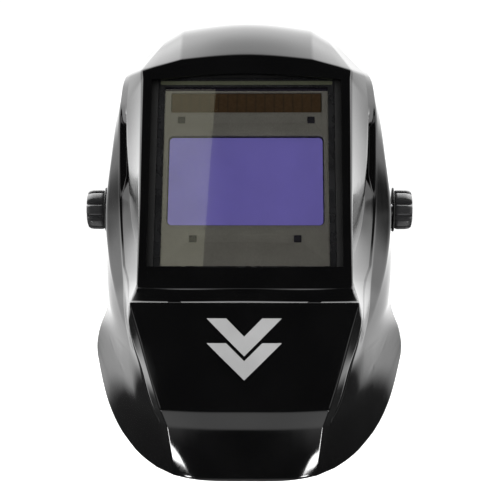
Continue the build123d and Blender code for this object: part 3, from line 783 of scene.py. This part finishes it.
def make_window():
    """The case's front with its openings, and the frames and strips round it."""
    outline = rounded(LENS_W, LENS_H, 3.0, 0, LENS_DROP)
    holes = [rounded(VIEW_W, VIEW_H, 3.2, 0, VIEW_DROP, 6), rounded(SOLAR_W, SOLAR_H, 1.0, 0, SOLAR_RISE)]
    holes += [rounded(SENSOR_W, SENSOR_W, 0.6, x, y, 3) for x, y in SENSORS]
    gasket = [rounded(VIEW_W + 3, VIEW_H + 3, 4.0, 0, VIEW_DROP),
              rounded(VIEW_W - 1.4, VIEW_H - 1.4, 2.6, 0, VIEW_DROP)]
    strip = [rounded(STRIP_W, STRIP_H, 0.8, 0, STRIP_RISE)]
    band = [rounded(BAND_W, BAND_H, 0.8, 0, BAND_RISE)]
    ring = [rounded(BEZEL_W, BEZEL_H, 3.0, 0, BEZEL_RISE),
            rounded(BEZEL_HOLE_W, BEZEL_HOLE_H, 3.2, 0, BEZEL_HOLE_DROP)]
    for name, loops, back, front, round_edge, slot, shine, stands_for in (
            ("filter_case_front_panel", [outline] + holes, CASE_SPLIT, CASE_FRONT, 0.35, "case_olive", None,
             ["filter_case_front"]),
            ("view_gasket", gasket, CASE_SPLIT - 0.1, CASE_FRONT - 1.5, 0.3, "holder_black", None, ()),
            ("case_top_strip", strip, CASE_FRONT - 0.4, CASE_FRONT + 0.25, 0.1, "sensor", None, ()),
            # The top band stands for the case's top rim, in a darker olive that is painted shade.
            ("holder_top_band", band, BAND_BACK, BAND_FRONT, 0.1, "case_olive", "band_olive", ()),
            # The bezel ring is a real frame; its darker, duller black is painted shade inside the window
            # opening.
            ("window_bezel", ring, BEZEL_BACK, BEZEL_FRONT, 0.3, "holder_black", "bezel_black", ())):
        add_piece(name, plate(loops, back, front, round_edge, WINDOW), "shell", slot, stands_for, shine)


# ---------- knobs
# Profiles from the foot over the rim to the middle of the face: radius, height, depth of the grooves.
KNOB_PROFILE = ((0, 0, 0), (12.4, 0, 1.3), (13.4, 0.5, 1.9), (14.1, 1.3, 2.3), (14.4, 2.6, 2.5),
                (14.3, 8.5, 2.5), (13.9, 11.0, 2.3), (12.9, 12.4, 1.9), (11.2, 13.0, 1.2), (8.6, 13.0, 0),
                (8.1, 12.6, 0), (7.8, 11.9, 0), (0, 11.9, 0))
KNOB_LOBES = 8
KNOB_SEAT = 105.3  # from the middle of the helmet to the knob's foot
RATCHET_PROFILE = ((0, 0, 0), (15.2, 0, 1.2), (16.4, 0.7, 1.9), (17.0, 2.0, 2.3), (16.8, 10.5, 2.3),
                   (16.0, 12.6, 2.0), (14.2, 13.8, 1.2), (9.4, 14.0, 0), (8.8, 13.4, 0), (8.5, 12.4, 0),
                   (0, 12.4, 0))
RATCHET_LOBES = 12
RATCHET_RISE = 10.6  # from the nape seat to the knob's foot
# The housing's two steps: width, height, corner radius, back, front and rounding.
HOUSING_STEPS = (("body", 62, 36, 7, 0.2, 7.0, 1.0), ("cap", 57, 31, 6.5, 6.4, 10.2, 1.1))
RIB_COUNT, RIB_W, RIB_H, RIB_SHORTER = 3, 1.5, 20, 4  # each rib is shorter than the one inside it
RIB_FROM, RIB_STEP = 20.5, 2.6
RIB_BACK, RIB_FRONT = 9.8, 10.9
SIDES = ((-1, "left"), (1, "right"))


def make_knobs():
    """The two tension knobs; a lobe, not a groove, points up."""
    for side, name in SIDES:
        turn = frame_at((side * KNOB_SEAT, 0, 0), (0, 0, 1), (side, 0, 0))
        turn @= Matrix.Rotation(math.pi / KNOB_LOBES, 4, "Z")
        mesh = turned(KNOB_PROFILE, turn, 160, KNOB_LOBES)
        add_piece(f"tension_knob_{name}_grip", mesh, f"knob_{name}", "knob_grey", [f"tension_knob_{name}"])


def make_ratchet_knob():
    start = Vector(NAPE_SEAT) + Vector(NAPE_BACK) * RATCHET_RISE
    mesh = turned(RATCHET_PROFILE, frame_at(start, (1, 0, 0), NAPE_BACK), 180, RATCHET_LOBES)
    add_piece("ratchet_knob_grip", mesh, "ratchet_knob", "knob_grey", ["ratchet_knob"])


def make_ratchet_housing():
    """A body in two steps with grip ribs at its ends; the rear band runs through it."""
    place = frame_at(NAPE_SEAT, (1, 0, 0), NAPE_BACK)
    for name, wide, high, corner, back, front, round_edge in HOUSING_STEPS:
        mesh = plate([rounded(wide, high, corner)], back, front, round_edge, place)
        add_piece(f"ratchet_housing_{name}", mesh, "rear_cradle", "headgear_black", ["ratchet_housing"])
    for side, name in SIDES:
        ribs = [rounded(RIB_W, RIB_H - RIB_SHORTER * k, 0.7, side * (RIB_FROM + RIB_STEP * k))
                for k in range(RIB_COUNT)]
        mesh = plate(ribs, RIB_BACK, RIB_FRONT, 0.4, place)
        add_piece(f"ratchet_grip_ribs_{name}", mesh, "rear_cradle", "headgear_black", ["ratchet_housing"])


# ---------- headgear straps
# The headband and the rear band lie on ellipses in two leaning planes through one centre; the crown straps
# lie on ellipses that stand up from it. UP is across a band, BACK points out of it at the nape.
BAND_CENTRE = (0, 10, 20)
BAND_HALVES = BAND_WIDE, BAND_LONG = 77.0, 96.0
BAND_THICK, BAND_HEIGHT = 2.2, 24.0
BROW_UP = (0, 0.1736, 0.9848)
NAPE_UP = (0, 0.5446, 0.8387)
NAPE_BACK = (0, 0.8387, -0.5446)
NAPE_SEAT = (0, 10 + BAND_LONG * 0.8387, 20 - BAND_LONG * 0.5446)
BROW_SWEEP = (162, 378)
NAPE_SWEEP = (4, 176)
REAR_HALVES = (BAND_WIDE - 1.2, BAND_LONG)
REAR_HEIGHT = BAND_HEIGHT - 8
CROWN_HALVES = (81.7, 82.0)
CROWN_WIDE, CROWN_THICK = 20.0, 1.6
CROWN_SWEEPS = {"right": (-1.5, 102), "left": (78, 181.5)}  # they overlap at the top, the right one outside
CROWN_LAP = 0.1  # gap between the two there
# Lean in degrees, and how far back they start.
CROWN_STRAPS = (("front", -14.0, -8.0), ("rear", 24.0, 14.0))
STRAP_CELL = 2.0  # mesh size
# Rows of slots in a strap: between which distances from its end, how far apart, how long, edges across.
BROW_VENTS = ((22, 64, 12, 6, 3.5, 8), (22, 64, 12, 6, -8, -3.5))
SIZING_SLOTS = ((24, 84, 4, 2, -1.2, 3.2),)  # the ratchet's teeth run in these
PEG_HOLES = ((16, 74, 12, 2.4, -1.3, 1.3),)  # for the crown straps' length


def strap(name, turn, halves, sweep, offset, thick, width, slots, ends, stands_for, body="headgear"):
    """A flat strap bent along part of an ellipse, with rows of slots at its first, last or both ends.

    offset is the middle of its thickness outside the ellipse. Angles in degrees, lengths in millimetres.
    """
    half_x, half_y = halves
    angles = np.radians(np.linspace(*sweep, 400))
    line = np.stack([half_x * np.cos(angles), half_y * np.sin(angles)], axis=1)
    run = np.concatenate([[0], np.cumsum(np.linalg.norm(np.diff(line, axis=0), axis=1))])
    count = max(4, round(run[-1] / STRAP_CELL))
    spots = np.linspace(0, run[-1], count + 1)
    line = np.stack([np.interp(spots, run, line[:, 0]), np.interp(spots, run, line[:, 1])], axis=1)
    ahead = np.gradient(line, axis=0)
    side = np.stack([ahead[:, 1], -ahead[:, 0]], axis=1)
    line = line + side / np.linalg.norm(side, axis=1)[:, None] * offset
    across = np.linspace(-width / 2, width / 2, max(2, round(width / STRAP_CELL)) + 1)
    points = [turn @ (Vector((x, y, up)) * MM) for x, y in line for up in across]

    def is_open(along, up):
        from_end = {"first": along, "last": run[-1] - along, "both": min(along, run[-1] - along)}[ends]
        return any(first < from_end < last and along % pitch < length and low < up < high
                   for first, last, pitch, length, low, high in slots)

    faces, m = [], len(across)
    for i in range(count):
        for j in range(m - 1):
            if not is_open((spots[i] + spots[i + 1]) / 2, (across[j] + across[j + 1]) / 2):
                a = i * m + j
                faces.append((a, a + 1, a + m + 1, a + m))
    mesh = bpy.data.meshes.new(name)
    mesh.from_pydata(points, [], faces)
    all_smooth(mesh)
    piece = add_piece(name, mesh, body, "headgear_black", stands_for)
    modify(piece, "SUBSURF", levels=1, render_levels=1)
    modify(piece, "SOLIDIFY", thickness=thick * MM, offset=0)
    soften(piece, EDGE_ROUND, 50.0)


def make_straps():
    """The headband, the rear band and the four crown straps."""
    brow = frame_at(BAND_CENTRE, (1, 0, 0), BROW_UP)
    nape = frame_at(BAND_CENTRE, (1, 0, 0), NAPE_UP)
    strap("headband_strip", brow, BAND_HALVES, BROW_SWEEP, BAND_THICK / 2, BAND_THICK, BAND_HEIGHT,
          BROW_VENTS, "both", ["headband"])
    strap("rear_band_strip", nape, REAR_HALVES, NAPE_SWEEP, -BAND_THICK / 2, BAND_THICK, REAR_HEIGHT,
          SIZING_SLOTS, "both", ["rear_band"], "rear_cradle")
    for part, lean, foot in CROWN_STRAPS:
        turn = math.radians(lean)
        place = frame_at((0, foot, BAND_CENTRE[2]), (1, 0, 0), (0, -math.cos(turn), math.sin(turn)))
        for side, offset, ends in (("right", CROWN_LAP + CROWN_THICK / 2, "last"),
                                   ("left", -CROWN_THICK / 2, "first")):
            strap(f"crown_strip_{part}_{side}", place, CROWN_HALVES, CROWN_SWEEPS[side], offset, CROWN_THICK,
                  CROWN_WIDE, PEG_HOLES, ends, [f"crown_strap_{part}_{side}"])


# ---------- sewn pads
PAD_VOXEL = 2.4
PAD_CAP = 1.6  # how far a point may swell
PAD_FRAMES = 20  # of cloth simulation
PAD_CLOTH = {"quality": 5, "mass": 0.15, "use_pressure": True, "uniform_pressure_force": 4.0,
             "tension_stiffness": 8, "bending_stiffness": 1.5, "vertex_group_mass": "seams"}
SEAM_PINCH = 0.7  # how far a seam is drawn in
SEAM_HALF = 1.3  # half a seam's width, in degrees of the band
BROW_SEAMS, NAPE_SEAMS = 24, 18  # degrees from seam to seam


def make_pad(node, name, body, seams):
    """A foam pad in cloth: the CAD pad, held at its seams and blown up between them."""
    mesh = nodes[node].data.copy()
    piece = add_piece(name, mesh, body, "sweat_fabric", [node])
    modify(piece, "REMESH", mode="VOXEL", voxel_size=PAD_VOXEL * MM, use_smooth_shade=True)
    bake(piece)
    rest = np.empty(len(piece.data.vertices) * 3)
    piece.data.vertices.foreach_get("co", rest)
    rest = rest.reshape(-1, 3)
    hold = piece.vertex_groups.new(name="seams")
    for i, co in enumerate(rest):
        if seams(co / MM):
            hold.add([i], 1.0, "REPLACE")
    cloth = modify(piece, "CLOTH")
    set_all(cloth.settings, **PAD_CLOTH)
    cloth.settings.effector_weights.gravity = 0.0
    set_all(cloth.point_cache, frame_start=1, frame_end=PAD_FRAMES)
    for frame_number in range(1, PAD_FRAMES + 1):
        bpy.context.scene.frame_set(frame_number)
    bake(piece)
    bpy.context.scene.frame_set(1)
    blown = np.empty(len(piece.data.vertices) * 3)
    piece.data.vertices.foreach_get("co", blown)
    move = blown.reshape(-1, 3) - rest
    far = np.linalg.norm(move, axis=1)
    move *= np.minimum(1, PAD_CAP * MM / np.maximum(far, 1e-9))[:, None]
    piece.data.vertices.foreach_set("co", (rest + move).ravel())
    pinch(piece, seams)
    modify(piece, "SUBSURF", levels=1, render_levels=1)


def pinch(piece, seams):
    """Draws the seam lines into the pad."""
    mesh = piece.data
    for vertex in mesh.vertices:
        if seams(np.array(vertex.co) / MM):
            vertex.co -= vertex.normal * SEAM_PINCH * MM


def bake(piece):
    """Applies the modifiers of a piece."""
    graph = bpy.context.evaluated_depsgraph_get()
    mesh = bpy.data.meshes.new_from_object(piece.evaluated_get(graph), depsgraph=graph)
    old = piece.data
    piece.modifiers.clear()
    piece.data = mesh
    if not mesh.materials:
        mesh.materials.append(old.materials[0])


def seams_every(step, forward):
    """A test for seams across a pad every so many degrees; forward is -1 at the brow and 1 at the nape."""
    def on_seam(co):
        angle = math.degrees(math.atan2(co[0] / BAND_WIDE, forward * (co[1] - BAND_CENTRE[1]) / BAND_LONG))
        return abs((angle + step / 2) % step - step / 2) < SEAM_HALF
    return on_seam


def make_pads():
    make_pad("sweatband", "sweatband_pad", "headgear", seams_every(BROW_SEAMS, -1))
    make_pad("nape_pad", "nape_pad_foam", "rear_cradle", seams_every(NAPE_SEAMS, 1))


# ---------- mark on the chin
CHEVRON = ((-23, -62), (-11, -62), (0, -73), (11, -62), (23, -62), (0, -85))
CHEVRON_DROP = 15  # from one to the next
CHEVRON_PROUD, CHEVRON_SUNK = 0.28, 0.02  # of its face and its back, against the skin
CHEVRON_CELL = 3  # longest mesh edge
AHEAD = -0.3  # metres; a place in front of the helmet to look for the skin from


def make_chin_mark(skin):
    """Two plain grey chevrons laid on the chin panel."""
    loops = [[(x, z - CHEVRON_DROP * k) for x, z in CHEVRON] for k in range(2)]
    for i, loop in enumerate(loops):
        mesh = plate([loop], -0.2, 0.2, 0.1, Matrix.Rotation(math.pi / 2, 4, "X"))
        with edited(mesh) as work:
            bmesh.ops.triangulate(work, faces=work.faces)
            for _ in range(3):
                long = [edge for edge in work.edges if edge.calc_length() > CHEVRON_CELL * MM]
                bmesh.ops.subdivide_edges(work, edges=long, cuts=1)
                bmesh.ops.triangulate(work, faces=work.faces)
            for vertex in work.verts:
                raised = CHEVRON_PROUD if vertex.co.y < 0 else -CHEVRON_SUNK
                hit, place, _, _ = skin.ray_cast((vertex.co.x, AHEAD, vertex.co.z), (0, 1, 0))
                if hit:
                    vertex.co.y = place.y - raised * MM
        add_piece(f"chin_chevron_{i + 1}", mesh, "shell", "shell_black", shine="mark_grey")


# ---------- dial marks
CASE_BACK = -19.1
DIAL_UP = 45.0  # of every dial's middle in the window's plane
# Name, distance from the middle line, radius and labels.
DIALS = (("shade", 0.0, 9.0, ("9", "10", "11", "12", "13")), ("sensitivity", -34.0, 7.0, ("-", "+")),
         ("delay", 34.0, 7.0, ("-", "+")))
DIAL_SWEEP = 135.0  # each way from straight up
DIAL_PROUD = 4.6  # the dial's face above the case
TICK_COUNT, TICK_GAP, TICK_SIZE = 11, 1.3, (0.35, 1.2, 0.12)
POINTER_AT, POINTER_LONG = 0.6, 0.65  # shares of the dial's radius
POINTER_WIDE, POINTER_THICK = 1.0, 0.4
MARK_SIZE, MARK_THICK, MARK_GAP, MARK_UP = 3.4, 0.06, 4.1, 0.08


def boxes(name, matrices, place):
    """A mesh of boxes, each a unit cube under its matrix."""
    mesh = bpy.data.meshes.new(name)
    with edited(mesh) as work:
        for matrix in matrices:
            bmesh.ops.create_cube(work, size=1.0, matrix=matrix)
    mesh.transform(place)
    return mesh


def box_at(turn, reach, up, size):
    """The matrix of a box at a clock angle and a reach from a dial's middle."""
    return (Matrix.Rotation(-turn, 4, "Z") @ Matrix.Translation((0, reach * MM, up * MM))
            @ Matrix.Diagonal((size[0] * MM, size[1] * MM, size[2] * MM, 1)))


def make_dial_marks():
    """Ticks and plain numbers round each dial on the wearer's side, and the pointer on the dial itself."""
    for name, x, radius, labels in DIALS:
        place = WINDOW @ Matrix.Translation(Vector((x, DIAL_UP, CASE_BACK)) * MM)
        place @= Matrix.Rotation(math.pi, 4, "Y")
        turns = [math.radians(DIAL_SWEEP * (2 * k / (TICK_COUNT - 1) - 1)) for k in range(TICK_COUNT)]
        ticks = [box_at(turn, radius + TICK_GAP, TICK_SIZE[2] / 2, TICK_SIZE) for turn in turns]
        mesh = boxes(f"{name}_ticks", ticks, place)
        add_piece(f"{name}_dial_ticks", mesh, "shell", "case_olive", shine="mark_grey")
        pointer = box_at(turns[-1], POINTER_AT * radius, DIAL_PROUD,
                         (POINTER_WIDE, POINTER_LONG * radius, POINTER_THICK))
        mesh = boxes(f"{name}_pointer", [pointer], place)
        add_piece(f"{name}_dial_pointer", mesh, f"{name}_dial", "dial_black", shine="mark_grey")
        for k, label in enumerate(labels):
            turn = math.radians(DIAL_SWEEP * (2 * k / (len(labels) - 1) - 1))
            curve = set_all(bpy.data.curves.new(f"{name}_number", "FONT"), body=label, size=MARK_SIZE * MM,
                            extrude=MARK_THICK * MM, align_x="CENTER", align_y="CENTER")
            mesh = curve_mesh(curve)
            reach = radius + MARK_GAP
            spot = Vector((reach * math.sin(turn), reach * math.cos(turn), MARK_UP)) * MM
            mesh.transform(place @ Matrix.Translation(spot))
            add_piece(f"{name}_dial_number_{k + 1}", mesh, "shell", "case_olive", shine="mark_grey")


# ---------- the scene
SHARP_SLOTS = ("cover_lens", "filter_glass", "lcd", "solar", "board")


def finish_nodes():
    """Materials and rounded edges on the CAD nodes that show."""
    for part in frame["record"]["subparts"]:
        node = nodes[part["node"]]
        slot = part["material_slot"]
        if slot in MATERIALS:
            node.data.materials.clear()
            node.data.materials.append(MATERIALS[slot])
        if slot not in SHARP_SLOTS:
            soften(node, EDGE_ROUND)


bpy.context.scene.view_settings.view_transform = "Standard"
MATERIALS = make_materials()
make_camera()
make_world()
make_floor()
area_light("front_fill", (0, -1.6, 0.5), (0, 0, 0), (1.2, 1.2), 20)
area_light("back_fill", (0, 1.5, 0.7), (0, 0, 0), (1.2, 1.2), 14)
area_light("top_fill", (0, 0, 1.6), (0, 0, 0), (1.6, 1.6), 9)
# The tall panel that the lens mirrors, and two small lamps that mark the corners of the chin.
lens_panel = area_light("lens_panel", place=(-0.157, -1.17, 1.12), aim=(-0.05, -0.14, 0.03), size=(0.13, 0.8),
                        power=0.33, glossy=True, colour=(1.0, 0.97, 0.74))
for side, _ in SIDES:
    area_light("low_lamp", place=(side * 0.285, -0.138, -0.414), aim=(side * 0.050, -0.15, -0.150),
               size=(0.062, 0.024), power=0.11, glossy=True)
finish_nodes()
skin = make_shell()
make_chin_mark(skin)
finish_shell(skin)
make_window()
make_knobs()
make_ratchet_knob()
make_ratchet_housing()
make_straps()
make_pads()
make_dial_marks()
light_only(lens_panel, ("outer_cover_lens", "uv_ir_filter", "filter_case_front_panel", "window_bezel"))
